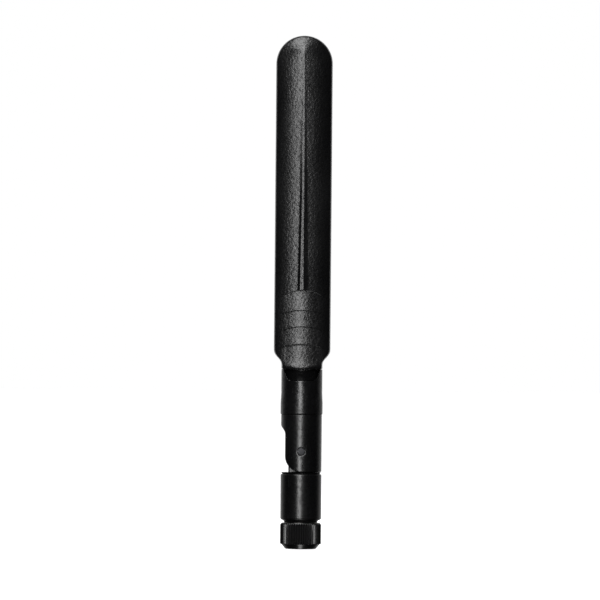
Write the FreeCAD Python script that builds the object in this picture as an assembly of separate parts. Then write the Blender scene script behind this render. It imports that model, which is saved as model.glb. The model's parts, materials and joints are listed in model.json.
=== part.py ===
import FreeCAD, Part
import math
import os

# Paddle-shaped omnidirectional antenna with a tilt-and-swivel hinge and an RP-SMA plug.
# Millimetres. +Z runs up the antenna, the origin is the centre of the coupling nut's mouth,
# -Y is the front of the blade and the blade tilts towards -X.

os.makedirs("parts", exist_ok=True)
V = FreeCAD.Vector
UP = V(0, 0, 1)

# ---------------------------------------------------------------- driving dimensions
BARREL_R = 5.0              # hinge barrel, collar and grip sleeve share one diameter
PIVOT_Z = 23.8              # height of the tilt axis

# coupling nut and knurled grip sleeve
SLEEVE_TOP = 6.37
SLEEVE_TEETH = 50
TOOTH_DEPTH = 0.17
LIP_TOP = 1.24
LIP_R_TOP, LIP_R_MOUTH = 4.75, 3.62
MOUTH_R = 3.35
NUT_Z = (0.4, 6.2)
NUT_FLATS = 8.0
NUT_CORNER_R = 4.45
NUT_NOSE_R, NUT_NOSE_LENGTH = 3.45, 1.05
THREAD_MINOR_R = 2.85       # 1/4-36 inch internal thread
THREAD_START = 0.6
REFERENCE_Z = 3.4           # the plug's electrical reference plane
NUT_RELIEF_R, NUT_REAR_R, RELIEF_TOP = 3.3, 2.95, 5.25

# connector shell, insulator and centre contact
SHELL_FRONT_R, INSULATOR_R = 2.29, 2.05
INSULATOR_REAR_R, INSULATOR_STEP, INSULATOR_TOP = 1.45, 5.2, 9.6
CONTACT_R, SOCKET_R, SOCKET_DEPTH = 0.635, 0.47, 2.2
SOCKET_SLOT = 0.12
FLANGE_R, FLANGE_Z = 3.6, (6.35, 7.0)
TAIL_R, TAIL_TOP = 2.5, 10.9
CRIMP_NECK_R, CRIMP_TOP = 1.05, 13.6
COUPLING_RING_Z, COUPLING_RING_R = (5.47, 5.93), (2.52, 3.2)
SWIVEL_RING_Z, SWIVEL_RING_R = (9.33, 9.87), (2.28, 3.05)
ORING_Z, ORING_RING_R, ORING_CORD_R = 8.425, 2.265, 0.26
RING_PLAY = 0.03

# swivel base: collar below, hinge tongue above
SPIGOT_R, SPIGOT_Z = 4.3, 6.43
COLLAR_Z = (7.05, 18.24)
COLLAR_CHAMFER, COLLAR_TOP_ROUND = 0.36, 0.25
BOSS_R, BOSS_TOP = 4.7, 18.72     # low boss under the ears that closes the gap to view
POCKET_R, POCKET_TOP = 3.65, 7.3
SWIVEL_BORE_R, SWIVEL_BORE_TOP = 2.55, 15.3
CABLE_BORE_R = 1.2
TONGUE_R = 3.12             # rounded top of the tongue, and half its width
TONGUE_HALF = 1.9           # half its thickness
CABLE_SLOT_HALF = 1.0
CABLE_SLOT_RIGHT = 1.75
CABLE_SLOT_BOTTOM = 18.9

# hinge fork: two ears, a web on the right, and a stem into the blade
FORK_Z = (18.78, 32.75)
FORK_FLAT_X = -3.95
FORK_FLAT_TOP, FORK_CHAMFER_SLOPE = 28.5, 1.5
FORK_ROUND_R = 3.9
FORK_SLOT_HALF = 2.2
FORK_SLOT_TOP = 27.5
FORK_WEB_X = 3.35
PIN_R, PIN_CLEARANCE = 0.95, 0.04
WASHER_R, WASHER_T = 2.7, 0.2
STEM_R, STEM_FLAT = (3.5, 3.0), 2.7
STEM_TOP = 50.0
STEM_GROOVE_Z, STEM_GROOVE_R = (46.6, 47.8), 2.45

# neck sleeve over the stem
NECK_STEP_Z = 32.75
NECK_FLARE_Z = (33.0, 35.6)
NECK_FLARE_R = 5.13
NECK_TOP = 44.9
SCALLOP_Z = 41.2

# radome blade
BLADE_W, BLADE_D = 6.89, 5.2        # half width, and half thickness at the ridge
BLADE_WALL, LIP_T = 1.2, 0.6
DOME_Z = 118.26                     # centre of the round end
RIDGE_SLOPE = math.tan(math.radians(6.5))
CROWN_BEND = 0.0042                 # the face drops by this times the cube of the distance
TAIL_Z, TAIL_W = 41.0, 4.3
SHOULDER_Z = (44.9, 48.7)
CAVITY_Z = 49.6
REST_X, REST_HEIGHTS = (4.25, 5.0), (60.0, 88.5, 112.0)
RIB_Z = (63.0, 112.0)
RIB_HALF = (0.93, 0.22)             # half width of the raised rib, bottom and tip
RIB_HEIGHT = (0.3, 0.07)
GRIP_CROWN_R, GRIP_SHAVE = 15.0, 0.14
GRIP_STEP = 0.25
GRIP_ARCS = [(63.2, 7.6), (58.3, 12.0), (54.3, 12.0), (50.1, 12.0)]   # crest height, radius
GRIP_BOTTOM = (43.0, 12.0)

# aerial board and cable
BOARD_HALF, BOARD_T, BOARD_Z = 4.8, 0.8, (54.0, 117.0)
COPPER_T = 0.07
FEED_Z = 85.5
FEED_GAP = 1.0
CABLE_R, BRAID_R, DIELECTRIC_R, CONDUCTOR_R = 0.9, 0.7, 0.43, 0.15
CABLE_OFFSET = -1.4                 # the cable lies on the board's front
CABLE_JOINTS = (18.0, 29.0)         # the hinge span's two ends
JACKET_END, BRAID_END, CONDUCTOR_END = 80.0, 84.0, 87.7


# ---------------------------------------------------------------- shared helpers
def cylinder(radius, z0, z1, x=0.0, y=0.0):
    return Part.makeCylinder(radius, z1 - z0, V(x, y, z0))


def tube(outer, inner, z0, z1):
    return cylinder(outer, z0, z1).cut(cylinder(inner, z0 - 1, z1 + 1))


def block(x, y, z):
    """A box from its three (low, high) spans."""
    return Part.makeBox(x[1] - x[0], y[1] - y[0], z[1] - z[0], V(x[0], y[0], z[0]))


def turned(profile):
    """The solid of revolution about Z of a closed outline of (radius, height) points."""
    points = [V(r, 0, z) for r, z in profile]
    face = Part.Face(Part.makePolygon(points + points[:1]))
    return face.revolve(V(0, 0, 0), UP, 360)


def plate_xz(points, y0, y1):
    """A closed (x, z) polygon, extruded along Y."""
    corners = [V(x, y0, z) for x, z in points]
    return Part.Face(Part.makePolygon(corners + corners[:1])).extrude(V(0, y1 - y0, 0))


def curve(*poles):
    bezier = Part.BezierCurve()
    bezier.setPoles(list(poles))
    return bezier.toShape()


def line(a, b):
    return Part.LineSegment(a, b).toShape()


def fuse(shapes):
    return shapes[0].multiFuse(shapes[1:]).removeSplitter()


def mirrored(shape):
    """The same shape on the other face of the blade."""
    return shape.mirror(V(0, 0, 0), V(0, 1, 0))


def split_ring(radii, z, gap_degrees):
    """A flat spring ring with a gap, closed around -X."""
    half = math.radians(gap_degrees / 2)
    reach = 2 * radii[1]
    wedge = [(0, 0), (-reach * math.cos(half), reach * math.sin(half)),
             (-reach * math.cos(half), -reach * math.sin(half))]
    points = [V(x, y, z[0] - 1) for x, y in wedge]
    gap = Part.Face(Part.makePolygon(points + points[:1])).extrude(V(0, 0, z[1] - z[0] + 2))
    return tube(radii[1], radii[0], *z).cut(gap)


# ---------------------------------------------------------------- plug
def nut_envelope():
    """The nut's hexagon, with its corners turned down and its nose turned to a cone."""
    corner = NUT_FLATS / 2 / math.cos(math.pi / 6)
    angles = [math.pi / 6 + i * math.pi / 3 for i in range(6)]
    points = [V(corner * math.cos(a), corner * math.sin(a), NUT_Z[0]) for a in angles]
    hexagon = Part.Face(Part.makePolygon(points + points[:1])).extrude(V(0, 0, NUT_Z[1] - NUT_Z[0]))
    z0, z1 = NUT_Z
    return hexagon.common(turned([
        (0, z0), (NUT_NOSE_R, z0), (NUT_CORNER_R, z0 + NUT_NOSE_LENGTH), (NUT_CORNER_R, z1), (0, z1),
    ]))


def coupling_nut():
    groove_r = COUPLING_RING_R[1] + 0.05
    groove = (COUPLING_RING_Z[0] - RING_PLAY, COUPLING_RING_Z[1] + RING_PLAY)
    bore = turned([
        (0, NUT_Z[0] - 1), (MOUTH_R - 0.1, NUT_Z[0] - 1), (MOUTH_R - 0.1, NUT_Z[0]),
        (THREAD_MINOR_R, THREAD_START), (THREAD_MINOR_R, REFERENCE_Z),
        (NUT_RELIEF_R, REFERENCE_Z), (NUT_RELIEF_R, RELIEF_TOP),
        (NUT_REAR_R, RELIEF_TOP), (NUT_REAR_R, groove[0]), (groove_r, groove[0]),
        (groove_r, groove[1]), (NUT_REAR_R, groove[1]), (NUT_REAR_R, NUT_Z[1] + 1),
        (0, NUT_Z[1] + 1),
    ])
    return nut_envelope().cut(bore)


def grip_sleeve():
    """Knurled plastic sleeve pressed over the nut's hexagon, with a smooth tapered lip."""
    points = []
    for i in range(SLEEVE_TEETH):
        for share, radius in ((0.0, BARREL_R), (0.34, BARREL_R), (0.5, BARREL_R - TOOTH_DEPTH),
                              (0.84, BARREL_R - TOOTH_DEPTH)):
            a = 2 * math.pi * (i + share) / SLEEVE_TEETH
            points.append(V(radius * math.cos(a), radius * math.sin(a), LIP_TOP))
    knurl = Part.Face(Part.makePolygon(points + points[:1])).extrude(V(0, 0, SLEEVE_TOP - LIP_TOP))
    lip = Part.makeCone(LIP_R_MOUTH, LIP_R_TOP, LIP_TOP)
    body = fuse([knurl, lip])
    way_in = nut_envelope().translated(V(0, 0, 1))
    return body.cut(nut_envelope()).cut(way_in).cut(cylinder(MOUTH_R, -1, NUT_Z[0] + 1))


def connector_body():
    """Turned brass shell: front barrel, ring grooves, flange, swivel tail and crimp neck."""
    coupling = (COUPLING_RING_Z[0] - RING_PLAY, COUPLING_RING_Z[1] + RING_PLAY)
    swivel = (SWIVEL_RING_Z[0] - RING_PLAY, SWIVEL_RING_Z[1] + RING_PLAY)
    seal = (ORING_Z - 0.32, ORING_Z + 0.32)
    seal_r = ORING_RING_R - ORING_CORD_R
    head_r = NUT_REAR_R - 0.05
    return turned([
        (INSULATOR_R, REFERENCE_Z), (SHELL_FRONT_R, REFERENCE_Z), (SHELL_FRONT_R, RELIEF_TOP),
        (head_r, RELIEF_TOP), (head_r, coupling[0]), (COUPLING_RING_R[0], coupling[0]),
        (COUPLING_RING_R[0], coupling[1]), (head_r, coupling[1]), (head_r, FLANGE_Z[0]),
        (FLANGE_R, FLANGE_Z[0]), (FLANGE_R, FLANGE_Z[1]), (TAIL_R, FLANGE_Z[1]),
        (TAIL_R, seal[0]), (seal_r, seal[0]), (seal_r, seal[1]), (TAIL_R, seal[1]),
        (TAIL_R, swivel[0]), (SWIVEL_RING_R[0], swivel[0]), (SWIVEL_RING_R[0], swivel[1]),
        (TAIL_R, swivel[1]), (TAIL_R, TAIL_TOP), (CRIMP_NECK_R, TAIL_TOP),
        (CRIMP_NECK_R, CRIMP_TOP), (DIELECTRIC_R, CRIMP_TOP), (DIELECTRIC_R, INSULATOR_TOP),
        (INSULATOR_REAR_R, INSULATOR_TOP), (INSULATOR_REAR_R, INSULATOR_STEP),
        (INSULATOR_R, INSULATOR_STEP),
    ])


def insulator():
    return turned([
        (CONTACT_R, REFERENCE_Z), (INSULATOR_R, REFERENCE_Z), (INSULATOR_R, INSULATOR_STEP),
        (INSULATOR_REAR_R, INSULATOR_STEP), (INSULATOR_REAR_R, INSULATOR_TOP),
        (CONTACT_R, INSULATOR_TOP),
    ])


def center_contact():
    """Slotted socket at the front, a soldered hole for the cable's conductor at the rear."""
    rod = cylinder(CONTACT_R, REFERENCE_Z, INSULATOR_TOP)
    socket = cylinder(SOCKET_R, REFERENCE_Z - 1, REFERENCE_Z + SOCKET_DEPTH)
    slot = block((-1, 1), (-SOCKET_SLOT / 2, SOCKET_SLOT / 2),
                 (REFERENCE_Z - 1, REFERENCE_Z + SOCKET_DEPTH - 0.3))
    wire = cylinder(CONDUCTOR_R, INSULATOR_TOP - 1.4, INSULATOR_TOP + 1)
    return rod.cut(socket).cut(slot).cut(wire)


def swivel_o_ring():
    return Part.makeTorus(ORING_RING_R, ORING_CORD_R, V(0, 0, ORING_Z))


def thrust_washer():
    return tube(FLANGE_R - 0.1, TAIL_R + 0.05, FLANGE_Z[1] + 0.02, POCKET_TOP - 0.03)


def crimp_ferrule():
    """Crimped over the braid, and necked down on to the cable's jacket."""
    braid_r = CRIMP_NECK_R + 0.2
    neck_z = CRIMP_TOP + 0.1
    return turned([
        (braid_r, TAIL_TOP + 0.1), (1.6, TAIL_TOP + 0.1), (1.6, neck_z), (1.35, neck_z + 0.5),
        (1.35, neck_z + 1.2), (CABLE_R, neck_z + 1.2), (CABLE_R, neck_z), (braid_r, neck_z),
    ])


def braid_lower():
    return tube(CRIMP_NECK_R + 0.2, CRIMP_NECK_R, TAIL_TOP + 0.2, CRIMP_TOP)


# ---------------------------------------------------------------- swivel base
def base_housing():
    """Collar that turns on the plug's tail, with the hinge tongue on top."""
    z0, z1 = COLLAR_Z
    r, c, e = BARREL_R, COLLAR_CHAMFER, COLLAR_TOP_ROUND
    collar = turned([
        (0, SPIGOT_Z), (SPIGOT_R, SPIGOT_Z), (SPIGOT_R, z0), (r - c, z0), (r, z0 + c),
        (r, z1 - e), (r - 0.3 * e, z1 - 0.3 * e), (r - e, z1),
        (BOSS_R, z1), (BOSS_R, BOSS_TOP), (0, BOSS_TOP),
    ])
    width = (-TONGUE_R, TONGUE_R)
    thick = (-TONGUE_HALF, TONGUE_HALF)
    tongue = block(width, thick, (z1 - 1, PIVOT_Z))
    top = Part.makeCylinder(TONGUE_R, 2 * TONGUE_HALF, V(0, -TONGUE_HALF, PIVOT_Z), V(0, 1, 0))
    body = fuse([collar, tongue, top])
    for cutter in (
        cylinder(POCKET_R, SPIGOT_Z - 1, POCKET_TOP),
        cylinder(SWIVEL_BORE_R, POCKET_TOP - 0.5, SWIVEL_BORE_TOP),
        cylinder(SWIVEL_RING_R[1] + 0.05, SWIVEL_RING_Z[0] - RING_PLAY, SWIVEL_RING_Z[1] + RING_PLAY),
        cylinder(CABLE_BORE_R, SWIVEL_BORE_TOP - 0.5, PIVOT_Z).common(
            block((-2, 2), (-CABLE_SLOT_HALF, CABLE_SLOT_HALF), (SWIVEL_BORE_TOP - 0.5, PIVOT_Z))),
        block((-4, CABLE_SLOT_RIGHT), (-CABLE_SLOT_HALF, CABLE_SLOT_HALF),
              (CABLE_SLOT_BOTTOM, PIVOT_Z + TONGUE_R + 1)),
        Part.makeCylinder(PIN_R + PIN_CLEARANCE, 6, V(0, -3, PIVOT_Z), V(0, 1, 0)),
    ):
        body = body.cut(cutter)
    return body


def hinge_washers():
    """A friction washer between each cheek of the tongue and its ear."""
    y = FORK_SLOT_HALF - WASHER_T
    disc = Part.makeCylinder(WASHER_R, WASHER_T, V(0, -FORK_SLOT_HALF, PIVOT_Z), V(0, 1, 0))
    hole = Part.makeCylinder(PIN_R, 1, V(0, -y - 0.6, PIVOT_Z), V(0, 1, 0))
    washer = disc.cut(hole)
    return Part.makeCompound([washer, mirrored(washer)])


def hinge_pins():
    """Two stub pins, pressed into the ears, that stop short of the cable."""
    end = math.sqrt(BARREL_R ** 2 - PIN_R ** 2) - 0.05
    start = CABLE_SLOT_HALF + 0.05
    pin = Part.makeCylinder(PIN_R, end - start, V(0, -end, PIVOT_Z), V(0, 1, 0))
    return Part.makeCompound([pin, mirrored(pin)])


# ---------------------------------------------------------------- blade body
def stem():
    """The fork's stem, without its cable bore: it keys and locks the parts around it."""
    low = cylinder(STEM_R[0], FORK_Z[1] - 1, TAIL_Z)
    high = cylinder(STEM_R[1], TAIL_Z - 0.5, STEM_TOP)
    key = block((-4, 4), (-STEM_FLAT, STEM_FLAT), (TAIL_Z, STEM_TOP + 1))
    groove = tube(STEM_R[1] + 1, STEM_GROOVE_R, *STEM_GROOVE_Z)
    return fuse([low, high.common(key)]).cut(groove)


def hinge_fork():
    z0, z1 = FORK_Z
    barrel = cylinder(BARREL_R, z0, z1)
    outside = FORK_FLAT_X - 2
    flat = plate_xz([(FORK_FLAT_X, z0 - 1), (FORK_FLAT_X, FORK_FLAT_TOP),
                     (outside, FORK_FLAT_TOP + 2 * FORK_CHAMFER_SLOPE), (outside, z0 - 1)], -6, 6)
    corner_x, corner_z = FORK_FLAT_X + FORK_ROUND_R, z0 + FORK_ROUND_R
    corner = block((FORK_FLAT_X - 2, corner_x), (-6, 6), (z0 - 1, corner_z))
    rounding = Part.makeCylinder(FORK_ROUND_R, 12, V(corner_x, -6, corner_z), V(0, 1, 0))
    slot = block((-6, FORK_WEB_X), (-FORK_SLOT_HALF, FORK_SLOT_HALF), (z0 - 1, FORK_SLOT_TOP))
    pin_holes = Part.makeCylinder(PIN_R, 12, V(0, -6, PIVOT_Z), V(0, 1, 0))
    funnel = Part.makeCone(CABLE_BORE_R + 0.8, CABLE_BORE_R, 2.5, V(0, 0, FORK_SLOT_TOP))
    bore = cylinder(CABLE_BORE_R, FORK_SLOT_TOP - 1, STEM_TOP + 1)
    body = fuse([barrel, stem()])
    for cutter in (flat, corner.cut(rounding), slot, pin_holes, funnel, bore):
        body = body.cut(cutter)
    return body


def scallop():
    """U-shaped window in the front of the neck sleeve that shows the blade's tapered tail."""
    outline = [(-3.1, SCALLOP_Z), (3.1, SCALLOP_Z), (3.6, SCALLOP_Z + 0.5), (4.05, SCALLOP_Z + 1.9),
               (4.9, NECK_TOP), (5.3, NECK_TOP + 1), (-5.3, NECK_TOP + 1), (-4.9, NECK_TOP),
               (-4.05, SCALLOP_Z + 1.9), (-3.6, SCALLOP_Z + 0.5)]
    return plate_xz(outline, -6, -2.2)


def neck_sleeve(hull):
    flare = turned([
        (0, NECK_STEP_Z), (BARREL_R - 0.08, NECK_STEP_Z), (NECK_FLARE_R, NECK_FLARE_Z[0]),
        (NECK_FLARE_R, NECK_FLARE_Z[1]), (BARREL_R, NECK_FLARE_Z[1] + 2.5),
        (BARREL_R, NECK_TOP), (0, NECK_TOP),
    ])
    body = flare.cut(hull).cut(stem())
    return body.cut(scallop()).cut(mirrored(scallop()))


def blade_section(w, d):
    """Edges of the right half of the blade's section, from the front ridge to the rear one."""
    edge_x = 0.915 * w
    fall = edge_x * RIDGE_SLOPE
    edge_y = d - fall - CROWN_BEND * edge_x ** 3
    reach = 0.065 * w
    slope = RIDGE_SLOPE + 3 * CROWN_BEND * edge_x ** 2
    front = [
        curve(V(0, -d, 0), V(edge_x / 3, fall / 3 - d, 0), V(2 * edge_x / 3, 2 * fall / 3 - d, 0),
              V(edge_x, -edge_y, 0)),
        curve(V(edge_x, -edge_y, 0), V(edge_x + reach, reach * slope - edge_y, 0),
              V(w, -0.52 * d, 0), V(w, 0, 0)),
    ]
    return front + [mirrored(e) for e in reversed(front)]


def blade_solid(inset, z0):
    """The blade's outer form drawn in by a wall thickness: a long prism with a turned round end."""
    w, d = BLADE_W - inset, BLADE_D - inset
    right = blade_section(w, d)
    left = [e.mirror(V(0, 0, 0), V(1, 0, 0)) for e in right]
    prism = Part.Face(Part.Wire(Part.__sortEdges__(right + left))).extrude(V(0, 0, DOME_Z - z0))
    prism.translate(V(0, 0, z0))
    half = Part.Face(Part.Wire(Part.__sortEdges__(right + [line(V(0, -d, 0), V(0, d, 0))])))
    half.translate(V(0, 0, DOME_Z))
    dome = half.revolve(V(0, 0, DOME_Z), V(0, -1, 0), 180)
    return fuse([prism, dome])


def front_outline():
    """The blade's silhouette from the front: shoulders that narrow to the tail."""
    z0, z1 = SHOULDER_Z
    top = DOME_Z + BLADE_W + 1
    right = [
        line(V(TAIL_W, 0, TAIL_Z - 1), V(TAIL_W, 0, z0)),
        line(V(TAIL_W, 0, z0), V(BARREL_R, 0, z0)),
        curve(V(BARREL_R, 0, z0), V(BARREL_R, 0, z0 + 1.6), V(BLADE_W, 0, z1 - 1.9), V(BLADE_W, 0, z1)),
        line(V(BLADE_W, 0, z1), V(BLADE_W, 0, top)),
    ]
    left = [e.mirror(V(0, 0, 0), V(1, 0, 0)) for e in right]
    ends = [line(V(-TAIL_W, 0, TAIL_Z - 1), V(TAIL_W, 0, TAIL_Z - 1)),
            line(V(-BLADE_W, 0, top), V(BLADE_W, 0, top))]
    face = Part.Face(Part.Wire(Part.__sortEdges__(right + left + ends)))
    return face.extrude(V(0, 20, 0)).translated(V(0, -10, 0))


def tail_cone():
    """Keeps the tail inside the neck sleeve, then opens out under the blade's lower edge."""
    return turned([(0, TAIL_Z), (4.2, TAIL_Z), (5.05, 44.0), (5.45, 44.5), (9, 45.3),
                   (9, DOME_Z + 10), (0, DOME_Z + 10)])


def rib():
    """Raised rib on the front ridge, wide at the grip and running out towards the tip."""
    wires = []
    for z, half, height in zip(RIB_Z, RIB_HALF, RIB_HEIGHT):
        top, root = -BLADE_D - height, -BLADE_D + 0.4
        foot = half + height + 0.3
        points = [V(-foot, root, z), V(-half, top, z), V(half, top, z), V(foot, root, z)]
        wires.append(Part.makePolygon(points + points[:1]))
    return Part.makeLoft(wires, True, True)


def grip_cut(upper, lower):
    """One shingle of the grip: sunk under the arc above it, flush at the arc below."""
    edges = []
    reach = BLADE_W + 0.5
    for z, radius in (upper, lower):
        drop = radius - math.sqrt(radius ** 2 - reach ** 2)
        ends = [V(-reach, -8, z - drop), V(reach, -8, z - drop)]
        edges.append(Part.Arc(ends[0], V(0, -8, z), ends[1]).toShape())
    for side in (-1, 1):
        heights = [z - radius + math.sqrt(radius ** 2 - reach ** 2) for z, radius in (upper, lower)]
        edges.append(line(V(side * reach, -8, heights[0]), V(side * reach, -8, heights[1])))
    window = Part.Face(Part.Wire(Part.__sortEdges__(edges))).extrude(V(0, 5, 0))
    length = upper[0] - lower[0]
    low = V(0, GRIP_CROWN_R + GRIP_SHAVE - BLADE_D, lower[0])
    lean = V(0, GRIP_STEP, length)
    crown = Part.makeCylinder(GRIP_CROWN_R, 4 * length, low - lean * 1.5, lean)
    return window.cut(crown)


def hull_solid():
    """The blade's whole outer form, with its rib and grip, before it is hollowed and split."""
    hull = blade_solid(0, TAIL_Z).common(front_outline()).common(tail_cone())
    hull = hull.fuse(rib()).fuse(mirrored(rib()))
    arcs = GRIP_ARCS + [GRIP_BOTTOM]
    for upper, lower in zip(arcs, arcs[1:]):
        cut = grip_cut(upper, lower)
        hull = hull.cut(cut).cut(mirrored(cut))
    return hull


def board_rests(cavity):
    """Short ribs inside the front shell that hold the board's edges."""
    rests = []
    for z in REST_HEIGHTS:
        for side in (-1, 1):
            x = sorted(side * edge for edge in REST_X)
            rests.append(block(x, (-6, -BOARD_T / 2), (z - 0.5, z + 0.5)).common(cavity))
    return rests


def radome_shells(hull):
    cavity = blade_solid(BLADE_WALL, CAVITY_Z)
    front_space = block((-10, 10), (-10, 0), (TAIL_Z - 1, DOME_Z + 10))
    lip = blade_solid(BLADE_WALL - LIP_T, CAVITY_Z).common(
        block((-10, 10), (0, LIP_T), (CAVITY_Z, DOME_Z + 10))).cut(cavity)
    shell = hull.cut(cavity).cut(stem())
    rests = board_rests(cavity)
    front = shell.common(front_space).fuse(lip)
    rear = shell.cut(front_space).cut(lip)
    for rest in rests:
        front = front.fuse(rest)
        rear = rear.fuse(mirrored(rest))
    return front.removeSplitter(), rear.removeSplitter()


# ---------------------------------------------------------------- aerial
def antenna_board():
    return block((-BOARD_HALF, BOARD_HALF), (-BOARD_T / 2, BOARD_T / 2), BOARD_Z)


def copper(strips):
    """Copper strips on the board's front, each from its (x, x, z, z), joined into one."""
    y = (-BOARD_T / 2 - COPPER_T, -BOARD_T / 2)
    return fuse([block((x0, x1), y, (z0, z1)) for x0, x1, z0, z1 in strips])


def upper_radiator():
    """Long centre arm for the low band, two short side arms for the high band."""
    z = FEED_Z + FEED_GAP / 2
    bar = (-4.2, 4.2, z, z + 2)
    return copper([bar, (-0.9, 0.9, z, z + 25.5), (-4.2, -2.8, z, z + 11), (2.8, 4.2, z, z + 11)])


def lower_radiator():
    """Long side arms for the low band, short inner arms, and a ground bar for the braid."""
    z = FEED_Z - FEED_GAP / 2
    bar = (-4.2, 4.2, z - 2.2, z)
    outer = [(-4.2, -3.0, z - 25.5, z), (3.0, 4.2, z - 25.5, z)]
    inner = [(-2.4, -1.5, z - 11, z), (1.5, 2.4, z - 11, z)]
    return copper([bar] + outer + inner)


def cable_path():
    """The cable's line above the hinge: up the stem, then over on to the board's front."""
    bend = 2 * math.degrees(math.atan2(-CABLE_OFFSET, 6.0))
    z0 = 48.6
    rise = 6.0
    radius = (rise ** 2 + CABLE_OFFSET ** 2) / (4 * -CABLE_OFFSET)
    middle = V(0, CABLE_OFFSET / 2, z0 + rise / 2)
    half = math.radians(bend / 2)
    lift, shift = radius * math.sin(half), radius * (1 - math.cos(half))
    first = Part.Arc(V(0, 0, z0), V(0, -shift, z0 + lift), middle)
    second = Part.Arc(middle, V(0, CABLE_OFFSET + shift, z0 + rise - lift), V(0, CABLE_OFFSET, z0 + rise))
    return Part.Wire([
        line(V(0, 0, CABLE_JOINTS[1]), V(0, 0, z0)), first.toShape(), second.toShape(),
        line(V(0, CABLE_OFFSET, z0 + rise), V(0, CABLE_OFFSET, JACKET_END)),
    ])


def cable_upper():
    profile = Part.Wire(Part.makeCircle(CABLE_R, V(0, 0, CABLE_JOINTS[1]), UP))
    return cable_path().makePipeShell([profile], True, False)


def cable_lower():
    return cylinder(CABLE_R, CRIMP_TOP + 0.1, CABLE_JOINTS[0])


def cable_hinge_span():
    return cylinder(CABLE_R, *CABLE_JOINTS)


def braid_upper():
    return tube(BRAID_R, DIELECTRIC_R, JACKET_END, BRAID_END).translated(V(0, CABLE_OFFSET, 0))


def dielectric_lower():
    return tube(DIELECTRIC_R, CONDUCTOR_R, INSULATOR_TOP, CRIMP_TOP)


def dielectric_upper():
    return tube(DIELECTRIC_R, CONDUCTOR_R, JACKET_END, FEED_Z).translated(V(0, CABLE_OFFSET, 0))


def conductor_lower():
    """The centre wire's end, soldered into the contact."""
    return cylinder(CONDUCTOR_R, INSULATOR_TOP - 1.4, CRIMP_TOP)


def conductor_upper():
    """The centre wire's other end, out over the upper radiator."""
    return cylinder(CONDUCTOR_R, JACKET_END, CONDUCTOR_END, 0, CABLE_OFFSET)


def solder_joints():
    """One bead for the centre wire on the upper bar, one each side of the braid on the lower."""
    face = -BOARD_T / 2 - COPPER_T
    under = block((-5, 5), (-5, face), (FEED_Z - 5, FEED_Z + 5))
    tip = Part.makeSphere(1.25, V(0, face - 0.1, FEED_Z + 1.7)).common(under)
    tip = tip.common(block((-2, 2), (-3, 0), (FEED_Z + 0.6, FEED_Z + 2.9))).cut(conductor_upper())
    braid = cylinder(BRAID_R, JACKET_END, BRAID_END, 0, CABLE_OFFSET)
    sides = []
    for side in (-1, 1):
        bead = Part.makeSphere(0.95, V(side * 0.85, face, FEED_Z - 2.3)).common(under)
        keep = block(sorted((side * 0.05, side * 3)), (-3, 0), (FEED_Z - 4, FEED_Z - 1.5))
        sides.append(bead.common(keep).cut(braid))
    return Part.makeCompound([tip] + sides)


def heat_shrink():
    """Sleeve that stiffens the cable where it leaves the stem."""
    return tube(CABLE_R + 0.22, CABLE_R, 44.0, 48.6)


def foam_pads():
    """Two pads that stop the board and the cable rattling in the shells."""
    front = block((-2.8, 2.8), (-3.57, CABLE_OFFSET - CABLE_R), (66, 76))
    rear = block((-2.8, 2.8), (BOARD_T / 2, 3.57), (66, 76))
    return Part.makeCompound([front, rear])


def build():
    hull = hull_solid()
    front, rear = radome_shells(hull)
    return {
        "coupling_nut": coupling_nut(),
        "grip_sleeve": grip_sleeve(),
        "connector_body": connector_body(),
        "insulator": insulator(),
        "center_contact": center_contact(),
        "coupling_ring": split_ring(COUPLING_RING_R, COUPLING_RING_Z, 40),
        "swivel_ring": split_ring(SWIVEL_RING_R, SWIVEL_RING_Z, 60),
        "swivel_o_ring": swivel_o_ring(),
        "thrust_washer": thrust_washer(),
        "crimp_ferrule": crimp_ferrule(),
        "braid_lower": braid_lower(),
        "base_housing": base_housing(),
        "hinge_washers": hinge_washers(),
        "hinge_pins": hinge_pins(),
        "hinge_fork": hinge_fork(),
        "neck_sleeve": neck_sleeve(hull),
        "radome_front": front,
        "radome_rear": rear,
        "antenna_board": antenna_board(),
        "upper_radiator": upper_radiator(),
        "lower_radiator": lower_radiator(),
        "solder_joints": solder_joints(),
        "cable_lower": cable_lower(),
        "cable_hinge_span": cable_hinge_span(),
        "cable_upper": cable_upper(),
        "braid_upper": braid_upper(),
        "dielectric_lower": dielectric_lower(),
        "dielectric_upper": dielectric_upper(),
        "conductor_lower": conductor_lower(),
        "conductor_upper": conductor_upper(),
        "heat_shrink": heat_shrink(),
        "foam_pads": foam_pads(),
    }


for name, shape in build().items():
    shape.exportStep(f"parts/{name}.step")
    print(name, "solids", len(shape.Solids), "valid", shape.isValid(), "mm3", round(shape.Volume, 2))
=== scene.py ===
import json
import math

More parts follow.
